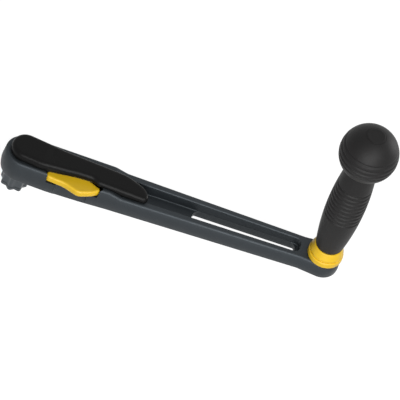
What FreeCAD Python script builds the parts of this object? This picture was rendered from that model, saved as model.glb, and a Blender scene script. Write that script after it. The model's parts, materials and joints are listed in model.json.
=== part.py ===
import FreeCAD, Part
import math
import os
import types

import Sketcher

# Locking winch crank handle, in millimetres.
# The origin is on the axis of the drive stud, level with the underside of the head.
# +X runs along the arm to the grip, +Z is up through the grip, and the thumb lever is on the -Y side.

DIMENSIONS = [
    ("throw", 254, "drive axis to grip axis"),
    ("part_line", 8.5, "height at which the forged arm is widest"),
    ("head_top", 22.3, "top of the head"),
    ("arm_height", 19.2, "top of the arm beyond the ramp"),
    ("ramp_start", 74, "X where the top starts to fall"),
    ("ramp_end", 84.5, "X where the top is down to the arm height"),
    ("ramp_round", 12, "radius of the bends in the top"),
    ("upper_draft", 4, "draft of the sides above the part line, degrees"),
    ("lower_draft", 8.5, "draft of the sides below the part line, degrees"),
    ("side_round", 22, "radius that blends the two drafts"),
    ("top_round", 2, "radius of the outer top edge"),
    ("bottom_round", 2.8, "radius of the bottom edge"),
    ("head_radius", 16.7, "radius of the head round the drive axis"),
    ("shoulder_start", 26, "X where the lever shoulder is widest"),
    ("shoulder_end", 52, "X where the lever shoulder falls back"),
    ("shoulder_half", 17.6, "half width of the lever shoulder"),
    ("flank_start", 76, "X where the straight flank starts"),
    ("flank_half", 15.65, "half width at the start of the flank"),
    ("flank_knee", 150, "X of the bend in the flank"),
    ("knee_half", 13.93, "half width at the bend"),
    ("neck_back", 18, "neck to grip axis"),
    ("neck_half", 11.95, "half width at the neck"),
    ("boss_radius", 14.1, "radius of the grip boss"),
    ("web_top", 9.6, "floor of the mechanism cavity"),
    ("web_slope", 1, "rise of the arm's underside and of the channel's floor, degrees"),
    ("channel_floor", 8.1, "height of the channel's floor, carried back to the drive axis"),
    ("channel_start", 88, "X where the open channel starts"),
    ("channel_end_back", 20, "end of the channel to grip axis"),
    ("channel_half_start", 9.35, "half width of the channel mouth at its start"),
    ("channel_half_end", 7.4, "half width of the channel mouth at its end"),
    ("channel_draft", 6, "slope of the channel walls, degrees"),
    ("channel_corner", 5, "corner radius of the channel in plan"),
    ("channel_fillet", 1.1, "radius where the channel walls meet the floor"),
    ("rim_round", 0.9, "radius of the inner edge of the rim"),
    ("slot_start", 143.5, "X where the slot through the floor starts"),
    ("slot_end_back", 24, "end of the slot to grip axis"),
    ("slot_half_start", 7, "half width of the slot at its start"),
    ("slot_half_end", 6, "half width of the slot at its end"),
    ("underside_start", 37, "X where the underside starts to rise"),
    ("recess_start", 48, "X where the recess under the arm starts"),
    ("recess_depth", 4.1, "depth of the recess under the arm"),
    ("recess_half_start", 9.4, "half width of the recess at its start"),
    ("recess_half_end", 7.6, "half width of the recess at its end"),
    ("cavity_radius", 11.2, "radius of the mechanism cavity round the drive axis"),
    ("cavity_near", 13.2, "reach of the cavity towards the lever"),
    ("cavity_far", 7.4, "reach of the cavity to the far side"),
    ("cavity_end", 71, "X where the mechanism cavity ends"),
    ("pocket_start", 20.3, "X where the lever pocket starts"),
    ("pocket_end", 68.6, "X where the lever pocket ends"),
    ("pocket_floor", 13.4, "height of the ledge under the lever"),
    ("scoop_start", 30.8, "X where the finger scoop starts"),
    ("scoop_end", 58, "X where the finger scoop ends"),
    ("scoop_face", 14.9, "distance of the scoop's flat from the centre line"),
    ("drive_flats", 17.46, "across the flats of each square of the drive star"),
    ("drive_angle", -10, "turn of the star about the drive axis, degrees"),
    ("drive_tip_round", 2.2, "radius on the tips of the drive star"),
    ("drive_length", 17.2, "reach of the star below the head"),
    ("drive_seat", 2, "depth of the star's seat in the head"),
    ("plate_thickness", 3, "thickness of the lock plate"),
    ("plate_gap", 0.3, "running gap between stud and lock plate"),
    ("shank_radius", 8.6, "radius of the stud's shank"),
    ("ring_nut_radius", 10.9, "outer radius of the ring nut"),
    ("ring_nut_height", 2.6, "height of the ring nut"),
    ("spindle_radius", 4, "radius of the lock spindle"),
    ("spindle_square", 5.4, "side of the squares on the spindle's ends"),
    ("bush_radius", 6, "outer radius of the spindle bushes"),
    ("bush_length", 7, "length of a spindle bush under its flange"),
    ("bush_flange", 7.5, "flange radius of the spindle bushes"),
    ("flange_height", 1, "flange thickness of the spindle bushes"),
    ("running_gap", 0.05, "radial clearance of turning fits"),
    ("plate_screw_radius", 1.5, "radius of the screw that holds the lock plate"),
    ("lever_x", 30, "X of the lever pivot"),
    ("lever_y", -8.2, "Y of the lever pivot"),
    ("lever_pin_radius", 2, "radius of the lever pivot pin"),
    ("lever_boss_radius", 3.2, "radius of the boss under the lever"),
    ("lever_bottom", 13.9, "underside of the lever"),
    ("lever_top", 20.2, "top face of the lever"),
    ("lever_round", 1.7, "radius on the lever's edges"),
    ("lever_tip", 67.5, "X of the lever's thumb end"),
    ("lever_reach", 21.2, "reach of the thumb end from the centre line"),
    ("nose_bottom", 18, "underside of the lever's nose"),
    ("nose_half", 2.7, "half width of the lever's nose"),
    ("crank_radius", 9.2, "drive axis to follower pin at either end of its travel"),
    ("lock_turn", 22.5, "turn of the lock plate, degrees"),
    ("crank_hub", 7, "radius of the crank's hub"),
    ("crank_reach", 10.3, "drive axis to the end of the crank's fork"),
    ("crank_bottom", 13.6, "underside of the crank"),
    ("crank_top", 17, "top of the crank"),
    ("fork_half", 3.5, "half width of the crank's fork"),
    ("follower_radius", 1.2, "radius of the follower pin"),
    ("follower_gap", 0.28, "clearance each side of the follower pin"),
    ("clip_radius", 4.4, "outer radius of the retaining clip"),
    ("clip_height", 0.8, "thickness of the retaining clip"),
    ("spring_wire", 0.4, "radius of the toggle spring's wire"),
    ("spring_leg", 11, "length of the toggle spring's legs"),
    ("spring_angle", 8, "lie of the toggle spring's legs, degrees"),
    ("cover_thickness", 1.6, "thickness of the cover plate"),
    ("cover_gap", 0.15, "gap round the cover plate"),
    ("cover_ledge", 0.8, "width of the ledge that carries the cover plate"),
    ("screw_first", 22, "X of the first cover screw"),
    ("screw_pitch", 21, "spacing of the cover screws"),
    ("screw_y", 3.8, "Y of the cover screws"),
    ("screw_radius", 1.45, "radius of the cover screws"),
    ("screw_head", 2.8, "head radius of the cover screws"),
    ("screw_length", 8.6, "length of a cover screw"),
    ("pillar_radius", 3, "radius of the pillars under the cover screws"),
    ("pad_radius", 12.2, "radius of the palm pad round the drive axis"),
    ("pad_near", 13.9, "reach of the pad towards the lever"),
    ("pad_waist", 8.9, "reach of the pad where it is cut back for the thumb"),
    ("pad_side", 11.6, "reach of the pad beyond the lever"),
    ("pad_far", 8.7, "reach of the pad to the far side"),
    ("pad_end", 105, "X where the pad ends"),
    ("pad_crown", 30, "height of the pad over the head"),
    ("pad_end_crown", 24.6, "height of the pad at its end"),
    ("pad_round", 3.2, "radius of the pad's top edge"),
    ("peg_radius", 1.8, "radius of the pad's pegs"),
    ("seat_drop", 0.7, "depth of the collar's seat below the arm's top"),
    ("tail_radius", 4, "radius of the axle's threaded tail"),
    ("nut_bore_radius", 8.4, "radius of the recess for nut and washer"),
    ("nut_bore_depth", 10.2, "top of the recess for nut and washer"),
    ("washer_height", 1.2, "thickness of the axle washer"),
    ("nut_flats", 13, "across the flats of the axle nut"),
    ("nut_height", 5, "height of the axle nut"),
    ("axle_radius", 6, "radius of the grip axle"),
    ("axle_flange", 8.6, "radius of the axle's flange"),
    ("axle_flange_height", 2.4, "height of the axle's flange"),
    ("collar_radius", 14.4, "radius of the collar's flange"),
    ("collar_band", 5.6, "height of the collar's flange band"),
    ("collar_top", 32.6, "top of the collar"),
    ("collar_top_radius", 11.7, "radius of the collar's top"),
    ("thrust_height", 0.6, "thickness of the thrust washer"),
    ("grip_gap", 0.2, "gap under the turning grip"),
    ("barrel_radius", 15.7, "largest radius of the grip's barrel"),
    ("barrel_height", 87, "height of the widest point of the barrel"),
    ("barrel_round", 335, "radius of the barrel's side"),
    ("grip_end", 133.4, "height where the barrel meets the ball"),
    ("rib_first", 76.2, "height of the lowest groove in the barrel"),
    ("rib_pitch", 4.7, "spacing of the grooves"),
    ("rib_count", 9, "number of grooves in the barrel"),
    ("rib_cut", 1.1, "half width of a groove at its mouth"),
    ("rib_depth", 0.75, "depth of a groove"),
    ("neck_radius", 10.6, "radius of the tube inside the ball"),
    ("neck_top", 149.6, "top of the tube inside the ball"),
    ("sleeve_bore", 7.2, "bore of the grip between its bushes"),
    ("grip_bush_radius", 8.2, "outer radius of the grip bushes"),
    ("grip_bush_length", 12, "length of a grip bush under its flange"),
    ("grip_bush_flange", 9.4, "flange radius of the grip bushes"),
    ("grip_flange_height", 1.2, "flange thickness of the grip bushes"),
    ("ball_radius", 24.2, "radius of the ball"),
    ("ball_centre", 154.2, "height of the ball's centre"),
    ("ball_rib_first", 149.8, "height of the lowest groove in the ball"),
    ("ball_rib_count", 4, "number of grooves in the ball"),
    ("ball_room", 160, "top of the hollow over the axle"),
    ("keeper_height", 1.5, "thickness of the retaining washer"),
    ("keeper_radius", 9, "radius of the retaining washer"),
    ("cap_screw_head", 4.2, "head radius of the cap screw"),
    ("cap_screw_height", 4.6, "head height of the cap screw"),
    ("cap_screw_radius", 2.5, "radius of the cap screw"),
    ("cap_radius", 8, "radius of the plug in the top of the ball"),
    ("cap_depth", 3.2, "depth of the plug's seat below the top of the ball"),
    ("cap_rise", 2.3, "thickness of the plug at its rim"),
]


class Size:
    """A dimension that knows both its number and the sheet formula that gives it."""

    def __init__(self, value, formula):
        self.value = float(value)
        self.formula = formula

    def __add__(self, other):
        return Size(self.value + number(other), "({} + {})".format(self.formula, formula(other)))

    def __sub__(self, other):
        return Size(self.value - number(other), "({} - {})".format(self.formula, formula(other)))

    def __mul__(self, other):
        return Size(self.value * number(other), "({} * {})".format(self.formula, formula(other)))

    def __truediv__(self, other):
        return Size(self.value / number(other), "({} / {})".format(self.formula, formula(other)))

    def __neg__(self):
        return Size(-self.value, "(0 - {})".format(self.formula))

    __radd__ = __add__
    __rmul__ = __mul__


def number(item):
    return item.value if isinstance(item, Size) else float(item)


def formula(item):
    return item.formula if isinstance(item, Size) else "({})".format(item)


def root(item):
    return Size(math.sqrt(number(item)), "sqrt({})".format(formula(item)))


def trig(function, angle):
    """The sine, cosine or tangent of an angle in degrees."""
    value = getattr(math, function)(math.radians(number(angle)))
    return Size(value, "{}({} * 1deg)".format(function, formula(angle)))


def atan_degrees(rise, run):
    value = math.degrees(math.atan2(number(rise), number(run)))
    return Size(value, "(atan({} / {}) / 1deg)".format(formula(rise), formula(run)))


def make_sheet(doc):
    """Write the driving dimensions to the sheet and return them as named sizes."""
    sheet = doc.addObject("Spreadsheet::Sheet", "Sizes")
    sizes = {}
    for row, (name, value, note) in enumerate(DIMENSIONS, start=1):
        sheet.set("A{}".format(row), name)
        sheet.set("B{}".format(row), str(value))
        sheet.set("C{}".format(row), note)
        sheet.setAlias("B{}".format(row), name)
        sizes[name] = Size(value, "Sizes.{}".format(name))
    doc.recompute()
    return types.SimpleNamespace(**sizes)


DOC = FreeCAD.newDocument("crank_handle")
S = make_sheet(DOC)
NODES = []


def bind(item, prop, size):
    item.setExpression(prop, formula(size))


def new_body(label, x=None, y=None):
    """A sub-part: its label names its file, and x and y place its own axis in the handle."""
    body = DOC.addObject("PartDesign::Body", label)
    body.Label = label
    if x is not None:
        bind(body, "Placement.Base.x", x)
    if y is not None:
        bind(body, "Placement.Base.y", y)
    NODES.append(body)
    return body


def new_sketch(body, plane, height=None, slope=None):
    """A sketch on one of the body's planes, at a height and, if a slope is given, rising along X."""
    sketch = body.newObject("Sketcher::SketchObject", body.Label + "_sketch")
    support = [item for item in body.Origin.OriginFeatures if item.Role == plane][0]
    sketch.AttachmentSupport = [(support, "")]
    sketch.MapMode = "FlatFace"
    if slope is not None:
        sketch.AttachmentOffset = FreeCAD.Placement(
            FreeCAD.Vector(), FreeCAD.Rotation(FreeCAD.Vector(0, -1, 0), number(slope)))
        bind(sketch, "AttachmentOffset.Rotation.Angle", slope)
    if height is not None:
        bind(sketch, "AttachmentOffset.Base.z", height)
    return sketch


def pin_point(sketch, geometry, position, x, y, hold="xy"):
    """Fix one point of a sketch at x, y, or hold it in only one of them."""
    for name, axis, kind, value in (("x", -2, "DistanceX", x), ("y", -1, "DistanceY", y)):
        if name not in hold:
            continue
        if number(value) == 0:
            sketch.addConstraint(Sketcher.Constraint("PointOnObject", geometry, position, axis))
        else:
            index = sketch.addConstraint(
                Sketcher.Constraint(kind, -1, 1, geometry, position, number(value)))
            bind(sketch, "Constraints[{}]".format(index), value)


def fix_radius(sketch, geometry, radius):
    index = sketch.addConstraint(Sketcher.Constraint("Radius", geometry, number(radius)))
    bind(sketch, "Constraints[{}]".format(index), radius)


def circle(sketch, x, y, radius):
    centre = FreeCAD.Vector(number(x), number(y), 0)
    geometry = sketch.addGeometry(Part.Circle(centre, FreeCAD.Vector(0, 0, 1), number(radius)), False)
    pin_point(sketch, geometry, 3, x, y)
    fix_radius(sketch, geometry, radius)


def corner(x, y, radius=0, hold="xy"):
    """A corner of an outline at x, y, rounded by a radius; next to a sweep it is held in one of them."""
    return types.SimpleNamespace(x=x, y=y, radius=radius, hold=hold, kind="corner")


def disc(x, y, radius):
    """A round end of an outline: an arc about x, y that the neighbouring lines touch."""
    return types.SimpleNamespace(x=x, y=y, radius=radius, kind="disc")


def sweep(x, y, radius):
    """An arc about x, y that runs from the corner before it to the corner after it."""
    return types.SimpleNamespace(x=x, y=y, radius=radius, kind="sweep")


def place(item):
    return FreeCAD.Vector(number(item.x), number(item.y), 0)


def touch_point(item, point, arriving):
    """Where the line between an outside point and a disc touches it, going anticlockwise."""
    centre = place(item)
    away = point - centre
    turn = math.acos(number(item.radius) / away.Length)
    angle = math.atan2(away.y, away.x) + (turn if arriving else -turn)
    return centre + FreeCAD.Vector(math.cos(angle), math.sin(angle), 0) * number(item.radius)


def run_ends(first, second):
    """The straight run between two items of an outline, before its corners are rounded."""
    start = touch_point(first, place(second), False) if first.kind == "disc" else place(first)
    end = touch_point(second, place(first), True) if second.kind == "disc" else place(second)
    return start, end


def angle_about(centre, point):
    return math.atan2(point.y - centre.y, point.x - centre.x)


def add_arc(sketch, centre, radius, first, last):
    """An arc drawn anticlockwise from the first point to the last."""
    start = angle_about(centre, first)
    end = angle_about(centre, last)
    if end < start:
        end += 2 * math.pi
    ring = Part.Circle(centre, FreeCAD.Vector(0, 0, 1), number(radius))
    return sketch.addGeometry(Part.ArcOfCircle(ring, start, end), False)


def outline(sketch, items):
    """Draw a closed anticlockwise outline of corners, discs and sweeps, held by the sheet's sizes."""
    turns = [item for item in items if item.kind != "sweep"]
    sweeps = {}
    for before, item in zip(items, items[1:]):
        if item.kind == "sweep":
            sweeps[turns.index(before)] = item
    count = len(turns)
    runs = [run_ends(turns[i], turns[(i + 1) % count]) for i in range(count)]
    headings = [(end - start).normalize() for start, end in runs]
    starts = [start for start, end in runs]
    ends = [end for start, end in runs]
    arcs = [None] * count
    for i, item in enumerate(turns):
        before, after = headings[i - 1], headings[i]
        if item.kind == "disc":
            arcs[i] = (place(item), ends[i - 1], starts[i], True)
        elif number(item.radius) > 0:
            arcs[i] = corner_arc(item, before, after)
            ends[i - 1] = arcs[i][1]
            starts[i] = arcs[i][2]
    pieces = [add_run(sketch, sweeps.get(i), starts[i], ends[i]) for i in range(count)]
    for i, item in enumerate(turns):
        if arcs[i] is None:
            sketch.addConstraint(Sketcher.Constraint("Coincident", pieces[i - 1], 2, pieces[i], 1))
            pin_point(sketch, pieces[i], 1, item.x, item.y, item.hold)
        else:
            join_arc(sketch, item, arcs[i], pieces[i - 1], pieces[i])


def corner_arc(item, before, after):
    """Centre, first and last point of the arc that rounds a corner, and whether it turns left."""
    left_turn = before.x * after.y - before.y * after.x > 0
    cosine = max(-1.0, min(1.0, before.dot(after)))
    trim = number(item.radius) * math.tan(math.acos(cosine) / 2)
    first = place(item) - before * trim
    last = place(item) + after * trim
    side = FreeCAD.Vector(-before.y, before.x, 0) * (1 if left_turn else -1)
    return first + side * number(item.radius), first, last, left_turn


def add_run(sketch, swept, start, end):
    """The line, or the swept arc, between two corners of an outline."""
    if swept is None:
        return sketch.addGeometry(Part.LineSegment(start, end), False)
    geometry = add_arc(sketch, place(swept), swept.radius, start, end)
    fix_radius(sketch, geometry, swept.radius)
    pin_point(sketch, geometry, 3, swept.x, swept.y)
    return geometry


def join_arc(sketch, item, arc, line_in, line_out):
    """Draw the arc at one corner of an outline and tie it to the lines beside it."""
    centre, first, last, left_turn = arc
    if not left_turn:
        first, last = last, first
    geometry = add_arc(sketch, centre, item.radius, first, last)
    near_end, far_end = (1, 2) if left_turn else (2, 1)
    sketch.addConstraint(Sketcher.Constraint("Tangent", line_in, 2, geometry, near_end))
    sketch.addConstraint(Sketcher.Constraint("Tangent", geometry, far_end, line_out, 1))
    fix_radius(sketch, geometry, item.radius)
    if item.kind == "disc":
        pin_point(sketch, geometry, 3, item.x, item.y)
    else:
        point = sketch.addGeometry(Part.Point(place(item)), True)
        pin_point(sketch, point, 1, item.x, item.y)
        sketch.addConstraint(Sketcher.Constraint("PointOnObject", point, 1, line_in))
        sketch.addConstraint(Sketcher.Constraint("PointOnObject", point, 1, line_out))


def pad(body, sketch, length, draft=None, back=None, back_draft=None, down=False):
    feature = body.newObject("PartDesign::Pad", body.Label + "_pad")
    feature.Profile = sketch
    feature.Reversed = down
    bind(feature, "Length", length)
    if draft is not None:
        bind(feature, "TaperAngle", -draft)
    if back is not None:
        feature.SideType = "Two sides"
        bind(feature, "Length2", back)
        bind(feature, "TaperAngle2", -back_draft)
    return feature


def pocket(body, sketch, depth, draft=None, up=False, both=False):
    feature = body.newObject("PartDesign::Pocket", body.Label + "_pocket")
    feature.Profile = sketch
    feature.Reversed = up
    if both:
        feature.SideType = "Symmetric"
    bind(feature, "Length", depth)
    if draft is not None:
        bind(feature, "TaperAngle", -draft)
    return feature


def turned(body, items, cut=False):
    """Turn an outline of radii and heights about the body's own Z axis."""
    sketch = new_sketch(body, "XZ_Plane")
    outline(sketch, items)
    return turn(body, sketch, cut)


def turn(body, sketch, cut=False):
    kind = "PartDesign::Groove" if cut else "PartDesign::Revolution"
    feature = body.newObject(kind, body.Label + "_turn")
    feature.Profile = sketch
    feature.ReferenceAxis = (sketch, ["V_Axis"])
    feature.Angle = 360
    return feature


def ring_profile(inner, outer, low, high):
    return [corner(inner, low), corner(outer, low), corner(outer, high), corner(inner, high)]


def edge_names(feature, wanted):
    return ["Edge{}".format(i + 1) for i, edge in enumerate(feature.Shape.Edges) if wanted(edge)]


def soften(body, radius, wanted, kind="Fillet"):
    """Round or bevel the edges of the body's last feature that a test picks."""
    DOC.recompute()
    base = body.Tip
    names = edge_names(base, wanted)
    feature = body.newObject("PartDesign::" + kind, body.Label + "_edge")
    feature.Base = (base, names)
    bind(feature, "Radius" if kind == "Fillet" else "Size", radius)
    return feature


def level(height, slack=0.01):
    """A test for edges that lie flat at one height."""
    def wanted(edge):
        box = edge.BoundBox
        return abs(box.ZMin - number(height)) < slack and abs(box.ZMax - number(height)) < slack
    return wanted


def row_along_x(body, feature, pitch, count):
    """Repeat a feature along X at an even pitch."""
    pattern = body.newObject("PartDesign::LinearPattern", body.Label + "_row")
    pattern.Originals = [feature]
    axis = [item for item in body.Origin.OriginFeatures if item.Role == "X_Axis"][0]
    pattern.Direction = (axis, [""])
    bind(pattern, "Length", pitch * (count - 1))
    pattern.Occurrences = count
    body.Tip = pattern
    return pattern


NECK_X = S.throw - S.neck_back
CHANNEL_END = S.throw - S.channel_end_back
SLOT_END = S.throw - S.slot_end_back
COLLAR_SEAT = S.arm_height - S.seat_drop
THRUST_TOP = S.collar_top + S.thrust_height
GRIP_FOOT = THRUST_TOP + S.grip_gap
AXLE_TOP = S.neck_top + S.grip_flange_height + S.grip_gap
STUD_BOTTOM = -S.drive_length + S.plate_thickness + S.plate_gap
PLATE_TOP = -S.drive_length + S.plate_thickness
STUD_TOP = S.web_top + S.ring_nut_height
COVER_BOTTOM = S.head_top - S.cover_thickness
PIN_BOTTOM = S.web_top - 5
PIVOT_RADIUS = root(S.lever_x * S.lever_x + S.lever_y * S.lever_y)
PIVOT_ANGLE = atan_degrees(S.lever_y, S.lever_x)
CRANK_ANGLE = PIVOT_ANGLE + S.lock_turn / 2
FOLLOWER_X = S.crank_radius * trig("cos", CRANK_ANGLE)
FOLLOWER_Y = S.crank_radius * trig("sin", CRANK_ANGLE)
NOSE_LENGTH = root((S.lever_x - FOLLOWER_X) * (S.lever_x - FOLLOWER_X)
                   + (S.lever_y - FOLLOWER_Y) * (S.lever_y - FOLLOWER_Y))
SCREW_COUNT = 3
STAR_SIDES = 2


def arm_outline():
    """The arm in plan at its part line, where it is widest."""
    return [
        disc(0, 0, S.head_radius),
        corner(S.shoulder_start, -S.shoulder_half, 110),
        corner(S.shoulder_end, -S.shoulder_half + 0.8, 60),
        corner(S.flank_start, -S.flank_half, 70),
        corner(S.flank_knee, -S.knee_half, 300),
        corner(NECK_X, -S.neck_half, 30),
        disc(S.throw, 0, S.boss_radius),
        corner(NECK_X, S.neck_half, 30),
        corner(S.flank_knee, S.knee_half, 300),
        corner(S.flank_start, S.flank_half, 120),
    ]


def rim_line(body, above):
    """Cut away what lies above, or below, the arm's sloping top."""
    far_x = S.throw + S.head_radius * 2
    outer = S.head_top + 20 if above else S.arm_height - 20
    sketch = new_sketch(body, "XZ_Plane")
    line = [corner(S.ramp_start, S.head_top, S.ramp_round), corner(S.ramp_end, S.arm_height, S.ramp_round),
            corner(far_x, S.arm_height)]
    if above:
        items = line + [corner(far_x, outer), corner(S.ramp_start - 10, outer),
                        corner(S.ramp_start - 10, S.head_top)]
    else:
        near_x = -S.head_radius * 2
        items = [corner(near_x, outer), corner(far_x, outer)] + line[::-1] + [corner(near_x, S.head_top)]
    outline(sketch, items)
    return pocket(body, sketch, S.head_radius * 6, both=True)


def cavity_outline():
    return [
        disc(0, 0, S.cavity_radius),
        corner(S.screw_first + 5, -S.cavity_near, 8),
        corner(S.cavity_end, -S.cavity_near + 4, 3),
        corner(S.cavity_end, S.cavity_far, 3),
        corner(S.screw_first, S.cavity_far, 20),
    ]


def cover_outline(grow):
    """The cover plate in plan, or its seat when grown by the gap."""
    radius = S.cavity_radius + S.cover_ledge
    end = S.cavity_end + S.cover_ledge
    return [
        disc(0, 0, radius + grow),
        corner(16, -S.pad_near + 1.2 - grow, 20),
        corner(47, -S.pad_waist + 0.6 - grow, 20),
        corner(56, -S.pad_waist + 1 - grow, 12),
        corner(end + grow, -S.pad_waist + 1 - grow, 3),
        corner(end + grow, S.cavity_far + S.cover_ledge + grow, 3),
        corner(S.screw_first, S.cavity_far + S.cover_ledge + grow, 20),
    ]


def raise_underside(body):
    """Let the underside rise from the head towards the grip."""
    far_x = S.throw + S.head_radius * 2
    rise = (far_x - S.underside_start) * trig("tan", S.web_slope)
    sketch = new_sketch(body, "XZ_Plane")
    outline(sketch, [corner(S.underside_start, 0), corner(far_x, -S.head_radius),
                     corner(far_x, rise)])
    pocket(body, sketch, S.head_radius * 6, both=True)


def bottom_edge(edge):
    """The arm's outer bottom edge, without the crease where the underside starts to rise."""
    box = edge.BoundBox
    return box.ZMax < number(S.part_line) * 0.6 and box.XLength > 0.05


def rim_edge(edge):
    """The arm's outer top edge, without the creases across its top face."""
    box = edge.BoundBox
    return box.ZMin > number(S.arm_height) - 0.01 and box.XLength > 0.05


def make_arm():
    body = new_body("arm")
    sketch = new_sketch(body, "XY_Plane", S.part_line)
    outline(sketch, arm_outline())
    pad(body, sketch, S.head_top - S.part_line, S.upper_draft, S.part_line, S.lower_draft)
    rim_line(body, above=True)
    raise_underside(body)
    soften(body, S.side_round, level(S.part_line))
    soften(body, S.bottom_round, bottom_edge)
    soften(body, S.top_round, rim_edge)
    cut_channel(body)
    cut_cavity(body)
    cut_lever_pocket(body)
    cut_drive_seat(body)
    cut_grip_boss(body)
    return body


def on_slope(height):
    """A test for edges in the plane that rises along X from a height at the drive axis."""
    slope = math.tan(math.radians(number(S.web_slope)))

    def wanted(edge):
        return all(abs(point.Z - number(height) - point.X * slope) < 0.02 for point in edge.Vertexes)
    return wanted


def mouth_edge(edge):
    """The channel's inner top edge, which lies inside its outline."""
    length = number(CHANNEL_END - S.channel_start)
    narrowing = number(S.channel_half_start - S.channel_half_end) / length
    inside = all(abs(point.Y) < number(S.channel_half_start) - (point.X - number(S.channel_start)) * narrowing
                 for point in edge.Vertexes)
    return inside and level(S.arm_height)(edge) and edge.BoundBox.XMin > number(S.ramp_end)


def cut_channel(body):
    """The open channel along the arm, the slot through its floor and the recess underneath."""
    sketch = new_sketch(body, "XY_Plane", S.head_top, S.web_slope)
    outline(sketch, [
        corner(S.channel_start, -S.channel_half_start, S.channel_corner),
        corner(CHANNEL_END, -S.channel_half_end, S.channel_corner),
        corner(CHANNEL_END, S.channel_half_end, S.channel_corner),
        corner(S.channel_start, S.channel_half_start, S.channel_corner),
    ])
    pocket(body, sketch, S.head_top - S.channel_floor, S.channel_draft)
    soften(body, S.channel_fillet, on_slope(S.channel_floor))
    soften(body, S.rim_round, mouth_edge)
    sketch = new_sketch(body, "XY_Plane", S.head_top)
    outline(sketch, [
        corner(S.slot_start, -S.slot_half_start, S.slot_half_end - 0.2),
        corner(SLOT_END, -S.slot_half_end, S.slot_half_end - 0.2),
        corner(SLOT_END, S.slot_half_end, S.slot_half_end - 0.2),
        corner(S.slot_start, S.slot_half_start, S.slot_half_end - 0.2),
    ])
    pocket(body, sketch, S.head_top * 2)
    sketch = new_sketch(body, "XY_Plane", -S.underside_start * trig("tan", S.web_slope), S.web_slope)
    outline(sketch, [
        corner(S.recess_start, -S.recess_half_start, S.channel_corner),
        corner(CHANNEL_END, -S.recess_half_end, S.channel_corner),
        corner(CHANNEL_END, S.recess_half_end, S.channel_corner),
        corner(S.recess_start, S.recess_half_start, S.channel_corner),
    ])
    pocket(body, sketch, S.recess_depth, S.channel_draft, up=True)


def cut_cavity(body):
    """The mechanism cavity in the head, with its pillars, lever boss and cover seat."""
    sketch = new_sketch(body, "XY_Plane", S.head_top)
    outline(sketch, cavity_outline())
    pocket(body, sketch, S.head_top - S.web_top)
    sketch = new_sketch(body, "XY_Plane", S.head_top)
    outline(sketch, cover_outline(S.cover_gap))
    pocket(body, sketch, S.cover_thickness)
    sketch = new_sketch(body, "XY_Plane", S.web_top)
    for place_number in range(SCREW_COUNT):
        circle(sketch, S.screw_first + S.screw_pitch * place_number, S.screw_y, S.pillar_radius)
    pad(body, sketch, COVER_BOTTOM - S.web_top)
    sketch = new_sketch(body, "XY_Plane", COVER_BOTTOM)
    for place_number in range(SCREW_COUNT):
        circle(sketch, S.screw_first + S.screw_pitch * place_number, S.screw_y, S.screw_radius)
    pocket(body, sketch, S.screw_length)
    sketch = new_sketch(body, "XY_Plane", S.web_top)
    circle(sketch, S.lever_x, S.lever_y, S.lever_boss_radius)
    pad(body, sketch, S.lever_bottom - S.web_top - 0.3)


def cut_lever_pocket(body):
    """The side pocket for the lever, the finger scoop below it and the hole for its pin."""
    sketch = new_sketch(body, "XY_Plane", S.head_top)
    outline(sketch, [
        corner(S.pocket_start + 3, -S.shoulder_half * 2),
        corner(S.pocket_end - 5, -S.shoulder_half * 2),
        corner(S.pocket_end - 5, -S.shoulder_half),
        corner(S.pocket_end, -S.shoulder_half + 4.2, 3),
        corner(S.pocket_end, -S.pad_waist, 3),
        corner(S.pocket_start, -S.pad_waist, 3),
        corner(S.pocket_start, -S.shoulder_half + 4.1, 3),
        corner(S.pocket_start + 3, -S.shoulder_half),
    ])
    pocket(body, sketch, S.head_top - S.pocket_floor)
    sketch = new_sketch(body, "XY_Plane", S.pocket_floor)
    outline(sketch, [
        corner(S.scoop_start, -S.shoulder_half * 2),
        corner(S.scoop_end, -S.shoulder_half * 2),
        corner(S.scoop_end, -S.scoop_face, 0.8),
        corner(S.scoop_start, -S.scoop_face, 3),
    ])
    pocket(body, sketch, S.pocket_floor * 2)
    sketch = new_sketch(body, "XY_Plane", PIN_BOTTOM)
    circle(sketch, S.lever_x, S.lever_y, S.lever_pin_radius)
    pocket(body, sketch, S.pocket_floor, up=True)


def star_outline(size, quarter):
    """One of the two squares whose union is the eight-point star."""
    if quarter:
        reach = size / math.sqrt(2)
        return [corner(reach, 0), corner(0, reach), corner(-reach, 0), corner(0, -reach)]
    half = size / 2
    return [corner(half, -half), corner(half, half), corner(-half, half), corner(-half, -half)]


def star_tips(size):
    """A test for the upright edges at the tips of the star."""
    def wanted(edge):
        box = edge.BoundBox
        upright = box.XLength < 0.01 and box.YLength < 0.01
        return upright and math.hypot(box.XMin, box.YMin) > number(size) / 2 * 1.2
    return wanted


def pad_star(body, size, low, high, cut=False, turned_by=None):
    """Add, or cut, the eight-point star between two heights."""
    for quarter in range(STAR_SIDES):
        sketch = new_sketch(body, "XY_Plane", low)
        outline(sketch, star_outline(size, quarter))
        if turned_by is not None:
            bind(sketch, "AttachmentOffset.Rotation.Angle", turned_by)
        if cut:
            pocket(body, sketch, high - low, up=True)
        else:
            pad(body, sketch, high - low)


def cut_drive_seat(body):
    """The star-shaped seat under the head and the bore for the stud's shank."""
    pad_star(body, S.drive_flats + 0.1, 0, S.drive_seat, cut=True, turned_by=S.drive_angle)
    sketch = new_sketch(body, "XY_Plane")
    circle(sketch, 0, 0, S.shank_radius)
    pocket(body, sketch, S.head_top, up=True)


def cut_grip_boss(body):
    """The collar's seat, the axle's bore and the recess for its nut."""
    sketch = new_sketch(body, "XY_Plane", COLLAR_SEAT)
    circle(sketch, S.throw, 0, S.collar_radius + 0.2)
    pocket(body, sketch, S.head_top, up=True)
    sketch = new_sketch(body, "XY_Plane")
    circle(sketch, S.throw, 0, S.tail_radius)
    pocket(body, sketch, S.head_top, up=True)
    sketch = new_sketch(body, "XY_Plane")
    circle(sketch, S.throw, 0, S.nut_bore_radius)
    pocket(body, sketch, S.nut_bore_depth, up=True)


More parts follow.
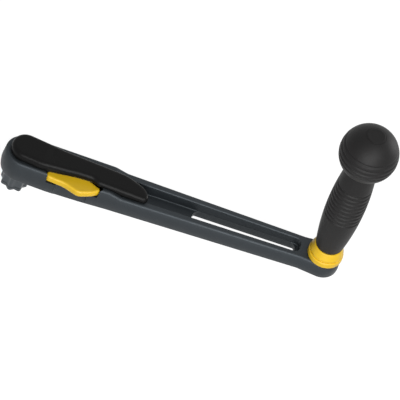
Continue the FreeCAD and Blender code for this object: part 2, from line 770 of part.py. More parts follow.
def make_drive_stud():
    body = new_body("drive_stud")
    bind(body, "Placement.Rotation.Angle", S.drive_angle)
    pad_star(body, S.drive_flats, STUD_BOTTOM, S.drive_seat)
    soften(body, S.drive_tip_round, star_tips(S.drive_flats))
    turned(body, ring_profile(S.bush_radius, S.shank_radius, S.drive_seat, STUD_TOP))
    turned(body, [
        corner(0, STUD_BOTTOM),
        corner(S.bush_flange, STUD_BOTTOM),
        corner(S.bush_flange, STUD_BOTTOM + S.flange_height),
        corner(S.bush_radius, STUD_BOTTOM + S.flange_height),
        corner(S.bush_radius, STUD_TOP),
        corner(0, STUD_TOP),
    ], cut=True)


def make_ring_nut():
    body = new_body("stud_ring_nut")
    turned(body, ring_profile(S.shank_radius, S.ring_nut_radius, S.web_top, STUD_TOP))
    sketch = new_sketch(body, "XY_Plane", S.web_top)
    reach = S.ring_nut_radius * 1.2
    groove = 1.1
    outline(sketch, [corner(S.shank_radius + 1, -groove), corner(reach, -groove),
                     corner(reach, groove), corner(S.shank_radius + 1, groove)])
    notch = pocket(body, sketch, S.ring_nut_height, up=True)
    pattern = body.newObject("PartDesign::PolarPattern", "ring_nut_notches")
    pattern.Originals = [notch]
    axis = [item for item in body.Origin.OriginFeatures if item.Role == "Z_Axis"][0]
    pattern.Axis = (axis, [""])
    pattern.Occurrences = 4
    pattern.Angle = 360
    body.Tip = pattern


def make_spindle_bush(label, flange_low, flange_high, sleeve_low, sleeve_high):
    """A flanged bush in the stud's bore; its flange is above or below its sleeve."""
    body = new_body(label)
    inner = S.spindle_radius + S.running_gap
    turned(body, ring_profile(inner, S.bush_radius, sleeve_low, sleeve_high))
    turned(body, ring_profile(inner, S.bush_flange, flange_low, flange_high))


def make_spindle_bushes():
    lower_sleeve = STUD_BOTTOM + S.flange_height
    make_spindle_bush("lower_spindle_bush", STUD_BOTTOM, lower_sleeve,
                      lower_sleeve, lower_sleeve + S.bush_length)
    make_spindle_bush("upper_spindle_bush", STUD_TOP, STUD_TOP + S.flange_height,
                      STUD_TOP - S.bush_length, STUD_TOP)


def make_spindle_seal():
    """The O-ring between the bushes, which keeps water out of the head."""
    body = new_body("spindle_seal")
    section = (S.bush_radius - S.spindle_radius) / 2 - 0.06
    sketch = new_sketch(body, "XZ_Plane")
    circle(sketch, (S.bush_radius + S.spindle_radius) / 2, 0, section)
    turn(body, sketch)


def square_outline(side):
    half = side / 2
    return [corner(half, -half), corner(half, half), corner(-half, half), corner(-half, -half)]


NECK_BOTTOM = PLATE_TOP - S.plate_thickness * 0.55
CLIP_BOTTOM = S.crank_top + 0.05


def make_lock_spindle():
    body = new_body("lock_spindle")
    bind(body, "Placement.Rotation.Angle", S.drive_angle)
    turned(body, [
        corner(0, PLATE_TOP),
        corner(S.spindle_radius, PLATE_TOP),
        corner(S.spindle_radius, S.crank_bottom),
        corner(0, S.crank_bottom),
    ])
    for low, high in ((NECK_BOTTOM, PLATE_TOP), (S.crank_bottom, CLIP_BOTTOM)):
        sketch = new_sketch(body, "XY_Plane", low)
        outline(sketch, square_outline(S.spindle_square))
        pad(body, sketch, high - low)
    sketch = new_sketch(body, "XY_Plane", CLIP_BOTTOM)
    circle(sketch, 0, 0, S.spindle_square * 0.35)
    pad(body, sketch, S.clip_height)
    sketch = new_sketch(body, "XY_Plane", CLIP_BOTTOM + S.clip_height)
    circle(sketch, 0, 0, S.spindle_square / 2)
    pad(body, sketch, S.clip_height)
    sketch = new_sketch(body, "XY_Plane", NECK_BOTTOM)
    circle(sketch, 0, 0, S.plate_screw_radius)
    pocket(body, sketch, S.bush_length, up=True)


def make_lock_plate():
    """The star-shaped plate at the tip of the stud that locks under the socket."""
    body = new_body("lock_plate")
    bind(body, "Placement.Rotation.Angle", S.drive_angle)
    pad_star(body, S.drive_flats, -S.drive_length, PLATE_TOP)
    soften(body, S.drive_tip_round, star_tips(S.drive_flats))
    sketch = new_sketch(body, "XY_Plane", NECK_BOTTOM)
    outline(sketch, square_outline(S.spindle_square))
    pocket(body, sketch, S.plate_thickness, up=True)
    turned(body, [
        corner(0, -S.drive_length),
        corner(S.plate_screw_radius * 2, -S.drive_length),
        corner(S.plate_screw_radius, NECK_BOTTOM),
        corner(0, NECK_BOTTOM),
    ], cut=True)


def make_plate_screw():
    body = new_body("plate_screw")
    socket = S.plate_screw_radius * 0.6
    floor = -S.drive_length + S.plate_thickness * 0.3
    turned(body, [
        corner(socket, -S.drive_length),
        corner(S.plate_screw_radius * 2, -S.drive_length),
        corner(S.plate_screw_radius, NECK_BOTTOM),
        corner(S.plate_screw_radius, NECK_BOTTOM + S.bush_length),
        corner(0, NECK_BOTTOM + S.bush_length),
        corner(0, floor),
        corner(socket, floor),
    ])


def make_spindle_crank():
    """The forked crank on top of the spindle, turned by the lever's follower pin."""
    body = new_body("spindle_crank")
    bind(body, "Placement.Rotation.Angle", CRANK_ANGLE)
    sketch = new_sketch(body, "XY_Plane", S.crank_bottom)
    circle(sketch, 0, 0, S.crank_hub)
    height = S.crank_top - S.crank_bottom
    pad(body, sketch, height)
    sketch = new_sketch(body, "XY_Plane", S.crank_bottom)
    outline(sketch, [corner(0, -S.fork_half), corner(S.crank_reach, -S.fork_half, 0.8),
                     corner(S.crank_reach, S.fork_half, 0.8), corner(0, S.fork_half)])
    pad(body, sketch, height)
    groove = S.follower_radius + S.follower_gap
    sketch = new_sketch(body, "XY_Plane", S.crank_bottom)
    start = S.crank_radius - groove - 0.3
    outline(sketch, [corner(start, -groove, 1), corner(S.crank_reach * 1.2, -groove),
                     corner(S.crank_reach * 1.2, groove), corner(start, groove, 1)])
    pocket(body, sketch, height, up=True)
    sketch = new_sketch(body, "XY_Plane", S.crank_bottom)
    bind(sketch, "AttachmentOffset.Rotation.Angle", S.drive_angle - CRANK_ANGLE)
    outline(sketch, square_outline(S.spindle_square))
    pocket(body, sketch, height, up=True)


def make_crank_clip():
    body = new_body("crank_clip")
    sketch = new_sketch(body, "XY_Plane", CLIP_BOTTOM)
    circle(sketch, 0, 0, S.clip_radius)
    pad(body, sketch, S.clip_height)
    sketch = new_sketch(body, "XY_Plane", CLIP_BOTTOM)
    circle(sketch, 0, 0, S.spindle_square * 0.35)
    pocket(body, sketch, S.clip_height, up=True)
    sketch = new_sketch(body, "XY_Plane", CLIP_BOTTOM)
    half = S.spindle_square * 0.3
    outline(sketch, [corner(-S.clip_radius * 1.5, -half), corner(0, -half),
                     corner(0, half), corner(-S.clip_radius * 1.5, half)])
    pocket(body, sketch, S.clip_height, up=True)


def make_thumb_lever():
    """The leaf-shaped lever, with a nose that reaches over the crank."""
    body = new_body("thumb_lever")
    sketch = new_sketch(body, "XY_Plane", S.lever_bottom)
    outline(sketch, [
        disc(S.pocket_start + 4.6, -13, 3.4),
        corner(38, -17.6, 25),
        corner(50.5, -S.lever_reach - 1, 9),
        corner(S.lever_tip - 6.5, -17.6, 14),
        corner(S.lever_tip + 1, -12, 2.2),
        corner(S.lever_tip - 10, -6.6, 8),
        corner(52, S.lever_y + 3.6, 6),
        corner(S.lever_x - 3, S.lever_y + 3.8, 3.5),
    ])
    pad(body, sketch, S.lever_top - S.lever_bottom)
    soften(body, S.lever_round, lambda edge: level(S.lever_bottom)(edge) or level(S.lever_top)(edge))
    sketch = new_sketch(body, "XY_Plane", S.nose_bottom)
    side_x = (FOLLOWER_Y - S.lever_y) * S.nose_half / NOSE_LENGTH
    side_y = (S.lever_x - FOLLOWER_X) * S.nose_half / NOSE_LENGTH
    outline(sketch, [
        disc(FOLLOWER_X, FOLLOWER_Y, S.nose_half),
        corner(S.lever_x - side_x, S.lever_y - side_y),
        corner(S.lever_x + side_x, S.lever_y + side_y),
    ])
    pad(body, sketch, S.lever_top - S.nose_bottom)
    sketch = new_sketch(body, "XY_Plane", S.lever_bottom)
    circle(sketch, S.lever_x, S.lever_y, S.lever_pin_radius + S.running_gap)
    circle(sketch, FOLLOWER_X, FOLLOWER_Y, S.follower_radius)
    pocket(body, sketch, S.head_top, up=True)


def make_follower_pin():
    body = new_body("follower_pin", FOLLOWER_X, FOLLOWER_Y)
    turned(body, [
        corner(0, S.crank_bottom + 0.3),
        corner(S.follower_radius, S.crank_bottom + 0.3),
        corner(S.follower_radius, S.lever_top),
        corner(0, S.lever_top),
    ])


def make_lever_pin():
    body = new_body("lever_pin", S.lever_x, S.lever_y)
    turned(body, [
        corner(0, PIN_BOTTOM),
        corner(S.lever_pin_radius, PIN_BOTTOM),
        corner(S.lever_pin_radius, S.head_top - 0.2),
        corner(0, S.head_top - 0.2),
    ])


def make_lever_washer():
    body = new_body("lever_washer", S.lever_x, S.lever_y)
    low = S.lever_bottom - 0.3
    turned(body, ring_profile(S.lever_pin_radius, S.lever_boss_radius, low, low + 0.25))


def make_toggle_spring():
    """The hairpin spring round the lever's boss that holds the lever at either end of its travel."""
    body = new_body("toggle_spring", S.lever_x, S.lever_y)
    bind(body, "Placement.Rotation.Angle", S.spring_angle)
    bend = S.lever_boss_radius + S.spring_wire + 0.2
    height = S.web_top + S.spring_wire + 0.1
    path = new_sketch(body, "XY_Plane", height)
    legs = [path.addGeometry(Part.LineSegment(FreeCAD.Vector(number(x0), number(y), 0),
                                              FreeCAD.Vector(number(x1), number(y), 0)), False)
            for x0, x1, y in ((S.spring_leg, 0, -bend), (0, S.spring_leg, bend))]
    loop = add_arc(path, FreeCAD.Vector(0, 0, 0), bend,
                   FreeCAD.Vector(0, number(bend), 0), FreeCAD.Vector(0, -number(bend), 0))
    path.addConstraint(Sketcher.Constraint("Tangent", legs[0], 2, loop, 2))
    path.addConstraint(Sketcher.Constraint("Tangent", loop, 1, legs[1], 1))
    path.addConstraint(Sketcher.Constraint("Horizontal", legs[0]))
    path.addConstraint(Sketcher.Constraint("Horizontal", legs[1]))
    pin_point(path, loop, 3, 0, 0)
    fix_radius(path, loop, bend)
    pin_point(path, legs[0], 1, S.spring_leg, 0, hold="x")
    pin_point(path, legs[1], 2, S.spring_leg, 0, hold="x")
    section = new_sketch(body, "YZ_Plane", S.spring_leg)
    circle(section, -bend, height, S.spring_wire)
    pipe = body.newObject("PartDesign::AdditivePipe", "toggle_spring_wire")
    pipe.Profile = section
    pipe.Spine = path


def make_cover_plate():
    body = new_body("cover_plate")
    sketch = new_sketch(body, "XY_Plane", COVER_BOTTOM)
    outline(sketch, cover_outline(0))
    pad(body, sketch, S.cover_thickness)
    sketch = new_sketch(body, "XY_Plane", COVER_BOTTOM)
    circle(sketch, S.lever_x, S.lever_y, S.lever_pin_radius)
    for x, y in peg_places():
        circle(sketch, x, y, S.peg_radius)
    pocket(body, sketch, S.cover_thickness, up=True)
    sketch = new_sketch(body, "XZ_Plane", -S.screw_y)
    outline(sketch, [
        corner(S.screw_first, COVER_BOTTOM),
        corner(S.screw_first + S.screw_radius, COVER_BOTTOM),
        corner(S.screw_first + S.screw_head, S.head_top),
        corner(S.screw_first, S.head_top),
    ])
    sink = body.newObject("PartDesign::Groove", "screw_sink")
    sink.Profile = sketch
    axis_line = sketch.addGeometry(Part.LineSegment(
        FreeCAD.Vector(number(S.screw_first), 0, 0), FreeCAD.Vector(number(S.screw_first), 1, 0)), True)
    pin_point(sketch, axis_line, 1, S.screw_first, 0)
    pin_point(sketch, axis_line, 2, S.screw_first, 1)
    sink.ReferenceAxis = (sketch, ["Axis0"])
    sink.Angle = 360
    row_along_x(body, sink, S.screw_pitch, SCREW_COUNT)


def make_cover_screws():
    """The three countersunk screws of the cover plate."""
    body = new_body("cover_screws", S.screw_first, S.screw_y)
    socket = S.screw_radius * 0.7
    low = COVER_BOTTOM - S.screw_length + 0.6
    screw = turned(body, [
        corner(0, low),
        corner(S.screw_radius, low),
        corner(S.screw_radius, COVER_BOTTOM),
        corner(S.screw_head, S.head_top),
        corner(socket, S.head_top),
        corner(socket, COVER_BOTTOM + 0.4),
        corner(0, COVER_BOTTOM + 0.4),
    ])
    row_along_x(body, screw, S.screw_pitch, SCREW_COUNT)


def peg_places():
    middle = S.screw_first + S.screw_pitch / 2
    return [(middle, S.screw_y), (middle + S.screw_pitch, S.screw_y)]


def crown_edge(edge):
    """The pad's top edge, without the seams across its top face."""
    box = edge.BoundBox
    return box.ZMin > number(S.pad_end_crown) - 1 and box.XLength > 0.05


def make_palm_pad():
    """The soft raised pad over the head, cut back where the thumb works the lever."""
    body = new_body("palm_pad")
    low = S.arm_height
    sketch = new_sketch(body, "XY_Plane", low)
    outline(sketch, [
        disc(0, 0, S.pad_radius),
        corner(16, -S.pad_near, 25),
        corner(36, -S.pad_near + 2.4, 30),
        corner(47, -S.pad_waist - 0.7, 20),
        corner(58, -S.pad_waist, 5),
        corner(63.5, -S.pad_side, 3),
        corner(S.pad_end - 0.5, -S.pad_side + 0.3, 3.5),
        corner(S.pad_end + 0.8, -5, 6),
        corner(S.pad_end - 5, 2, 12),
        corner(84, S.pad_far - 1, 30),
        corner(28, S.pad_far, 40),
    ])
    pad(body, sketch, S.pad_crown - low + 5)
    rim_line(body, above=False)
    sketch = new_sketch(body, "XZ_Plane")
    high = S.pad_crown + 10
    far_x = S.pad_end + 10
    slope = (S.pad_crown - S.pad_end_crown) / (S.pad_end - 20)
    outline(sketch, [
        corner(-S.pad_radius * 2, S.pad_crown),
        corner(20, S.pad_crown, 150),
        corner(far_x, S.pad_end_crown - slope * 10),
        corner(far_x, high),
        corner(-S.pad_radius * 2, high),
    ])
    pocket(body, sketch, S.head_radius * 6, both=True)
    soften(body, S.pad_round, crown_edge)
    sketch = new_sketch(body, "XY_Plane", COVER_BOTTOM)
    for x, y in peg_places():
        circle(sketch, x, y, S.peg_radius)
    pad(body, sketch, S.cover_thickness)


def make_grip_axle():
    body = new_body("grip_axle", S.throw)
    flange_top = COLLAR_SEAT + S.axle_flange_height
    low = S.nut_bore_depth - S.washer_height - S.nut_height + 0.2
    turned(body, [
        corner(0, low),
        corner(S.tail_radius, low),
        corner(S.tail_radius, COLLAR_SEAT),
        corner(S.axle_flange, COLLAR_SEAT),
        corner(S.axle_flange, flange_top),
        corner(S.axle_radius, flange_top),
        corner(S.axle_radius, AXLE_TOP),
        corner(S.cap_screw_radius, AXLE_TOP),
        corner(S.cap_screw_radius, AXLE_TOP - S.grip_bush_length),
        corner(0, AXLE_TOP - S.grip_bush_length),
    ])


def make_axle_washer():
    body = new_body("axle_washer", S.throw)
    turned(body, ring_profile(S.tail_radius, S.nut_bore_radius - 0.3,
                              S.nut_bore_depth - S.washer_height, S.nut_bore_depth))


def make_axle_nut():
    body = new_body("axle_nut", S.throw)
    high = S.nut_bore_depth - S.washer_height
    sketch = new_sketch(body, "XY_Plane", high - S.nut_height)
    half = S.nut_flats / 2
    side = half * trig("tan", 30)
    tip = side * 2
    outline(sketch, [corner(tip, 0), corner(side, half), corner(-side, half),
                     corner(-tip, 0), corner(-side, -half), corner(side, -half)])
    pad(body, sketch, S.nut_height)
    sketch = new_sketch(body, "XY_Plane", high - S.nut_height)
    circle(sketch, 0, 0, S.tail_radius)
    pocket(body, sketch, S.nut_height, up=True)


def make_grip_collar():
    """The coloured collar: a flange band, a fine groove and a cone up to the grip."""
    body = new_body("grip_collar", S.throw)
    flange_top = COLLAR_SEAT + S.axle_flange_height
    band_top = COLLAR_SEAT + S.collar_band
    groove = 0.9
    turned(body, [
        corner(S.axle_flange, COLLAR_SEAT),
        corner(S.collar_radius, COLLAR_SEAT, 1),
        corner(S.collar_radius, band_top, 1),
        corner(S.collar_radius - 1.6, band_top, 0.3),
        corner(S.collar_radius - 1.6, band_top + groove, 0.3),
        corner(S.collar_radius - 0.7, band_top + groove, 0.4),
        corner(S.collar_radius - 0.7, band_top + groove + 1.6, 0.8),
        corner(S.collar_top_radius, S.collar_top, 0.6),
        corner(S.axle_radius + 1, S.collar_top),
        corner(S.axle_radius + 1, flange_top),
        corner(S.axle_flange, flange_top),
    ])


def make_thrust_washer():
    body = new_body("thrust_washer", S.throw)
    turned(body, ring_profile(S.axle_radius + 0.2, S.collar_top_radius - 1.3, S.collar_top, THRUST_TOP))


def barrel_at(height):
    """The barrel's radius at one height."""
    rise = height - S.barrel_height
    return S.barrel_radius - S.barrel_round + root(S.barrel_round * S.barrel_round - rise * rise)


def ball_at(height):
    """The ball's radius at one height."""
    rise = height - S.ball_centre
    return root(S.ball_radius * S.ball_radius - rise * rise)


def cut_ribs(body, first, count, radius_at):
    """Turn a row of grooves with rounded floors into a grip surface."""
    for place_number in range(count):
        height = first + S.rib_pitch * place_number
        inner = radius_at(height) - S.rib_depth
        outer = inner + S.rib_depth * 2
        turned(body, [
            corner(inner, height - S.rib_cut / 2, S.rib_cut / 3),
            corner(outer, height - S.rib_cut),
            corner(outer, height + S.rib_cut),
            corner(inner, height + S.rib_cut / 2, S.rib_cut / 3),
        ], cut=True)


def make_grip_sleeve():
    body = new_body("grip_sleeve", S.throw)
    foot_recess = GRIP_FOOT + S.grip_flange_height
    neck_recess = S.neck_top - S.grip_bush_length
    turned(body, [
        corner(S.grip_bush_flange, GRIP_FOOT),
        corner(barrel_at(GRIP_FOOT), GRIP_FOOT, hold="y"),
        sweep(S.barrel_radius - S.barrel_round, S.barrel_height, S.barrel_round),
        corner(barrel_at(S.grip_end), S.grip_end, hold="y"),
        corner(S.neck_radius, S.grip_end),
        corner(S.neck_radius, S.neck_top),
        corner(S.grip_bush_radius, S.neck_top),
        corner(S.grip_bush_radius, neck_recess),
        corner(S.sleeve_bore, neck_recess),
        corner(S.sleeve_bore, foot_recess + S.grip_bush_length),
        corner(S.grip_bush_radius, foot_recess + S.grip_bush_length),
        corner(S.grip_bush_radius, foot_recess),
        corner(S.grip_bush_flange, foot_recess),
    ])
    cut_ribs(body, S.rib_first, int(S.rib_count.value), barrel_at)


def make_grip_bush(label, flange_low, sleeve_low):
    body = new_body(label, S.throw)
    inner = S.axle_radius + S.running_gap
    turned(body, ring_profile(inner, S.grip_bush_radius, sleeve_low, sleeve_low + S.grip_bush_length))
    turned(body, ring_profile(inner, S.grip_bush_flange, flange_low, flange_low + S.grip_flange_height))


def make_grip_bushes():
    make_grip_bush("lower_grip_bush", GRIP_FOOT, GRIP_FOOT + S.grip_flange_height)
    make_grip_bush("upper_grip_bush", S.neck_top, S.neck_top - S.grip_bush_length)


BALL_TOP = S.ball_centre + S.ball_radius
CAP_SEAT = BALL_TOP - S.cap_depth


def make_ball_knob():
    body = new_body("ball_knob", S.throw)
    keeper_room = S.neck_radius
    hole = S.cap_screw_head + 1.5
    rim = S.ball_centre + root(S.ball_radius * S.ball_radius - S.cap_radius * S.cap_radius)
    turned(body, [
        corner(keeper_room, S.grip_end),
        corner(ball_at(S.grip_end), S.grip_end, hold="y"),
        sweep(0, S.ball_centre, S.ball_radius),
        corner(S.cap_radius, rim, hold="x"),
        corner(S.cap_radius, CAP_SEAT),
        corner(hole, CAP_SEAT),
        corner(hole, S.ball_room),
        corner(keeper_room, S.ball_room),
    ])
    cut_ribs(body, S.ball_rib_first, int(S.ball_rib_count.value), ball_at)


def make_retaining_washer():
    body = new_body("retaining_washer", S.throw)
    turned(body, ring_profile(S.cap_screw_radius, S.keeper_radius,
                              AXLE_TOP, AXLE_TOP + S.keeper_height))


def make_cap_screw():
    body = new_body("cap_screw", S.throw)
    head_low = AXLE_TOP + S.keeper_height
    head_top = head_low + S.cap_screw_height
    socket = S.cap_screw_radius * 0.9
    low = AXLE_TOP - S.grip_bush_length + 1
    turned(body, [
        corner(0, low),
        corner(S.cap_screw_radius, low),
        corner(S.cap_screw_radius, head_low),
        corner(S.cap_screw_head, head_low),
        corner(S.cap_screw_head, head_top, 0.5),
        corner(socket, head_top),
        corner(socket, head_top - S.cap_screw_radius),
        corner(0, head_top - S.cap_screw_radius),
    ])


def make_knob_plug():
    """The plug with a dished top that closes the ball over the axle screw."""
    body = new_body("knob_plug", S.throw)
    turned(body, [
        corner(0, CAP_SEAT),
        corner(S.cap_radius, CAP_SEAT),
        corner(S.cap_radius, CAP_SEAT + S.cap_rise - 0.5, 0.4),
        corner(S.cap_radius - 1, CAP_SEAT + S.cap_rise, 0.6),
        corner(S.cap_radius - 2.5, CAP_SEAT + S.cap_rise - 0.5, 3),
        corner(0, CAP_SEAT + S.cap_rise - 0.5),
    ])


def check_and_write():
    DOC.recompute()
    failed = [item.Name for item in DOC.Objects if "Invalid" in item.State or "Error" in item.State]
    if failed:
        raise RuntimeError("failed features: " + ", ".join(failed))
    for node in NODES:
        if node.Shape.isNull() or not node.Shape.isValid() or not node.Shape.Solids:
            raise RuntimeError("bad shape: " + node.Label)
    os.makedirs("parts", exist_ok=True)
    for node in NODES:
        node.Shape.exportStep("parts/{}.step".format(node.Label))
        print("{:22s} {:10.1f} mm3  {} solid(s)".format(node.Label, node.Shape.Volume, len(node.Shape.Solids)))


make_arm()
make_drive_stud()
make_ring_nut()
make_spindle_bushes()
make_spindle_seal()
make_lock_spindle()
make_lock_plate()
make_plate_screw()
make_spindle_crank()
make_crank_clip()
make_thumb_lever()
make_follower_pin()
make_lever_pin()
make_lever_washer()
make_toggle_spring()
make_cover_plate()
make_cover_screws()
make_palm_pad()
make_grip_axle()
make_axle_washer()
make_axle_nut()
make_grip_collar()
make_thrust_washer()
make_grip_sleeve()
make_grip_bushes()
make_ball_knob()
make_retaining_washer()
make_cap_screw()
make_knob_plug()
check_and_write()
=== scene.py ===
import json
import math

import bpy
from bpy.props import FloatProperty, FloatVectorProperty, IntProperty, PointerProperty
from mathutils import Matrix, Vector


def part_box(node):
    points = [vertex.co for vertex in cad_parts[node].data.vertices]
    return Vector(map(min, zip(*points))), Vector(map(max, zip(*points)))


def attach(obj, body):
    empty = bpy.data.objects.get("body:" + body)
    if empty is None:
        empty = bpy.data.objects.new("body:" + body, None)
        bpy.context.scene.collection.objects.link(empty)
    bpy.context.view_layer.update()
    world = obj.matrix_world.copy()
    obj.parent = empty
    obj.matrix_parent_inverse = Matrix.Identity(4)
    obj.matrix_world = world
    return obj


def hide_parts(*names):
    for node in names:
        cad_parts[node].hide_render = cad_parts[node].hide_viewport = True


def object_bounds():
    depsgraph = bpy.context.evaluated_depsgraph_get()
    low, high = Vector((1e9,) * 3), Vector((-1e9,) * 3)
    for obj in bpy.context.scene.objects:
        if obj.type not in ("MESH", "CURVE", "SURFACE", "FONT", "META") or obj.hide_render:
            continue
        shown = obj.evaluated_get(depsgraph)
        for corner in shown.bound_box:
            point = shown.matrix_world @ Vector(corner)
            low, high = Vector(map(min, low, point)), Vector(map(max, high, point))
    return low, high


bl_info = {
    "name": "Crank handle",
    "version": (1, 0, 0),
    "blender": (4, 5, 0),
    "location": "View3D > Sidebar > Crank handle",
    "description": "Builds a locking winch crank handle over its CAD frame, with its finishes and studio",
    "category": "Object",
}

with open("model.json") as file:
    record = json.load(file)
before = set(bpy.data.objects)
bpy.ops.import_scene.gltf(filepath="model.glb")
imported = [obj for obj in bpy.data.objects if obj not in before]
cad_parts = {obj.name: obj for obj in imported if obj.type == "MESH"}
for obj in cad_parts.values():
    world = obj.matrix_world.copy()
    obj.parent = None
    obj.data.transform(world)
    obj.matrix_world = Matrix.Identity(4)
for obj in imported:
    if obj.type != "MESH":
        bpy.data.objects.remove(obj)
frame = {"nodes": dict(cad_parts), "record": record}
CAD_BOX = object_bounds()

MM = 0.001
AXIS_X = 254 * MM
SPIN_STEPS = 96
CORNER_STEPS = 5
LEVER_GRID = 0.35 * MM
LEVER_PASSES = 8
STAR_BEVEL = 0.3 * MM
GLOSS_SPREAD = 0.04


def millimetres(corner):
    return [value / MM for value in corner]


SLEEVE_LOW, SLEEVE_HIGH = (millimetres(corner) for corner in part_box("grip_sleeve"))
BALL_LOW, BALL_HIGH = (millimetres(corner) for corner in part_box("ball_knob"))
COLLAR_LOW, COLLAR_HIGH = (millimetres(corner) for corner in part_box("grip_collar"))
PLUG_LOW, PLUG_HIGH = (millimetres(corner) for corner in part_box("knob_plug"))

SLEEVE_FOOT = SLEEVE_LOW[2]
SLEEVE_TOP = SLEEVE_HIGH[2]
BARREL_RADIUS = (SLEEVE_HIGH[1] - SLEEVE_LOW[1]) / 2
BALL_FOOT = BALL_LOW[2]
BALL_RADIUS = (BALL_HIGH[1] - BALL_LOW[1]) / 2
COLLAR_FOOT = COLLAR_LOW[2]
COLLAR_TOP = COLLAR_HIGH[2]
COLLAR_RADIUS = (COLLAR_HIGH[1] - COLLAR_LOW[1]) / 2
PLUG_FOOT = PLUG_LOW[2]
PLUG_TOP = PLUG_HIGH[2]
PLUG_RADIUS = (PLUG_HIGH[1] - PLUG_LOW[1]) / 2

# The arm's walls: heights in millimetres, and the lean of their normals in degrees from foot to rim.
WALL_FOOT = 2.4
UNDERSIDE_START = 37
UNDERSIDE_SLOPE = 1
HEAD_WALL_TOP = 20.7
ARM_WALL_TOP = 17.8
RAMP_START = 74
RAMP_END = 84.5
CHANNEL_START = 84
CHANNEL_END = 246
CHANNEL_FOOT = 9
OUTER_FROM = 10.4
OUTER_LEAN = (-14, 17)
INNER_LEAN = (10, 32)
LEAN_SLACK = 2

# Heights and radii of the turned pieces that the boxes don't give, in millimetres.
BARREL_WIDEST = 87
BARREL_SWEEP = 335
BALL_CENTRE = 154.2
GROOVE_PITCH = 4.7
BARREL_GROOVES = [76.2 + GROOVE_PITCH * i for i in range(9)]
BALL_GROOVES = [149.8 + GROOVE_PITCH * i for i in range(4)]
NECK_RADIUS = 10.6
BUSH_RADIUS = 8.2
BUSH_FLANGE_RADIUS = 9.4
BUSH_FLANGE_HEIGHT = 1.2
BUSH_LENGTH = 12
BORE_RADIUS = 7.2
SCREW_HOLE = 5.7
SCREW_ROOM_TOP = 160
PLUG_SEAT = 175.2
AXLE_FLANGE = 8.6
AXLE_FLANGE_HEIGHT = 2.4
COLLAR_BORE = 7
COLLAR_BAND = 5.6
COLLAR_GROOVE = 0.9
COLLAR_GROOVE_DEPTH = 1.6
COLLAR_STEP = 0.7
COLLAR_STEP_HEIGHT = 1.6
COLLAR_TAPER = 2.7
BARREL_PITCH = 0.42
BALL_PITCH = 0.9
PLUG_GAP = 0.05

# The barrel's foot reaches down over the edge of the thrust washer.
LIP = 0.7
LIP_INSIDE = 10.6


def srgb(text):
    """A web colour as the linear values that Blender's colour sockets take."""
    values = [int(text[i:i + 2], 16) / 255 for i in (1, 3, 5)]
    return tuple(v / 12.92 if v <= 0.04045 else ((v + 0.055) / 1.055) ** 2.4 for v in values)


# Choices that a user may change.


def colour_choice(name, description, default):
    return FloatVectorProperty(name=name, description=description, subtype="COLOR", size=3,
                               min=0, max=1, default=srgb(default))


def length_choice(name, description, default):
    return FloatProperty(name=name, description=description, subtype="DISTANCE", unit="LENGTH",
                         min=0, precision=5, default=default * MM)


class CrankHandleSizes(bpy.types.PropertyGroup):
    groove_depth: length_choice("Groove depth", "Depth of the soft grooves in barrel and ball", 0.85)
    groove_half: length_choice("Groove half width", "Half the width of a groove at its mouth", 1.35)
    pad_grid: length_choice("Pad grid", "Size of the faces of the palm pad", 0.75)
    pad_passes: IntProperty(name="Pad smoothing", description="How often the pad's faces are relaxed",
                            min=0, max=40, default=8)
    pad_grain: length_choice("Pad grain", "Height of the grain on the soft black parts", 0.11)


class CrankHandleColours(bpy.types.PropertyGroup):
    metal: colour_choice("Arm", "Dark slate finish of the arm", "#2f3438")
    yellow: colour_choice("Yellow parts", "Moulded lever and collar", "#e6bb1c")
    soft: colour_choice("Palm pad", "Soft black pad on the head", "#090909")
    grip: colour_choice("Grip", "Black barrel and ball", "#100f0f")
    steel: colour_choice("Steel", "Stud, lock plate, screws and axle", "#4c5053")


# Finishes.


def add_node(tree, kind, inputs=None, **settings):
    """Adds a shader node, sets it up and fills its inputs with values or with other nodes' outputs."""
    node = tree.nodes.new(kind)
    for name, value in settings.items():
        setattr(node, name, value)
    for key, value in (inputs or {}).items():
        if isinstance(value, bpy.types.NodeSocket):
            tree.links.new(value, node.inputs[key])
        else:
            node.inputs[key].default_value = value
    return node


